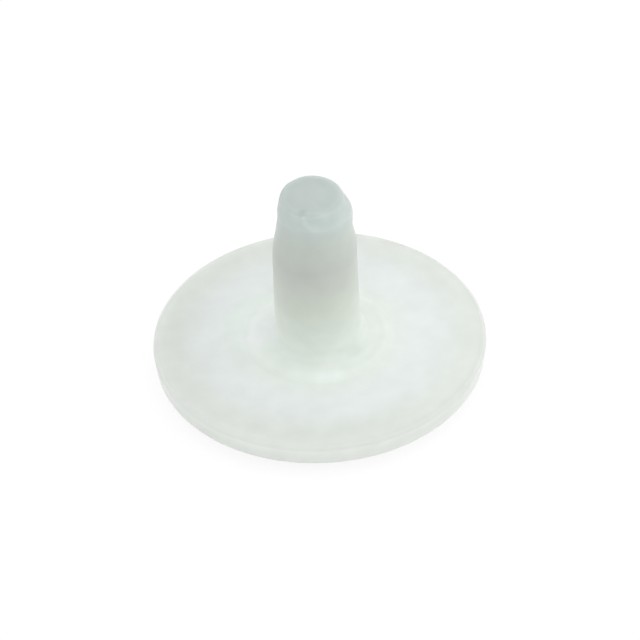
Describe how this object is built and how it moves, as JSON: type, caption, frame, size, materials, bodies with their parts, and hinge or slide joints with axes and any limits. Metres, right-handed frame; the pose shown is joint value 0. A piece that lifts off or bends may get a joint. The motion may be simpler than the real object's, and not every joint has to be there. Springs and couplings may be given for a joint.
{
  "type": "push-in bumper",
  "caption": "One-piece milky plastic push-in bumper: a round head with a crowned contact face, and a plain stem with a tapered lead-in that presses into a drilled hole.",
  "frame": {"origin": "centre of the crowned head's flat foot, at the lowest point of the bumper standing on its contact face", "axes": "+Z along the stem, from the head towards the stem's end; X and Y lie across the round head and are interchangeable"},
  "size_m": [0.02, 0.02, 0.0128],
  "materials": {
    "milky_plastic": "natural milky translucent moulded plastic, soft satin gloss"
  },
  "bodies": {
    "root": {"push_in_bumper": "milky_plastic"}
  },
  "joints": []
}
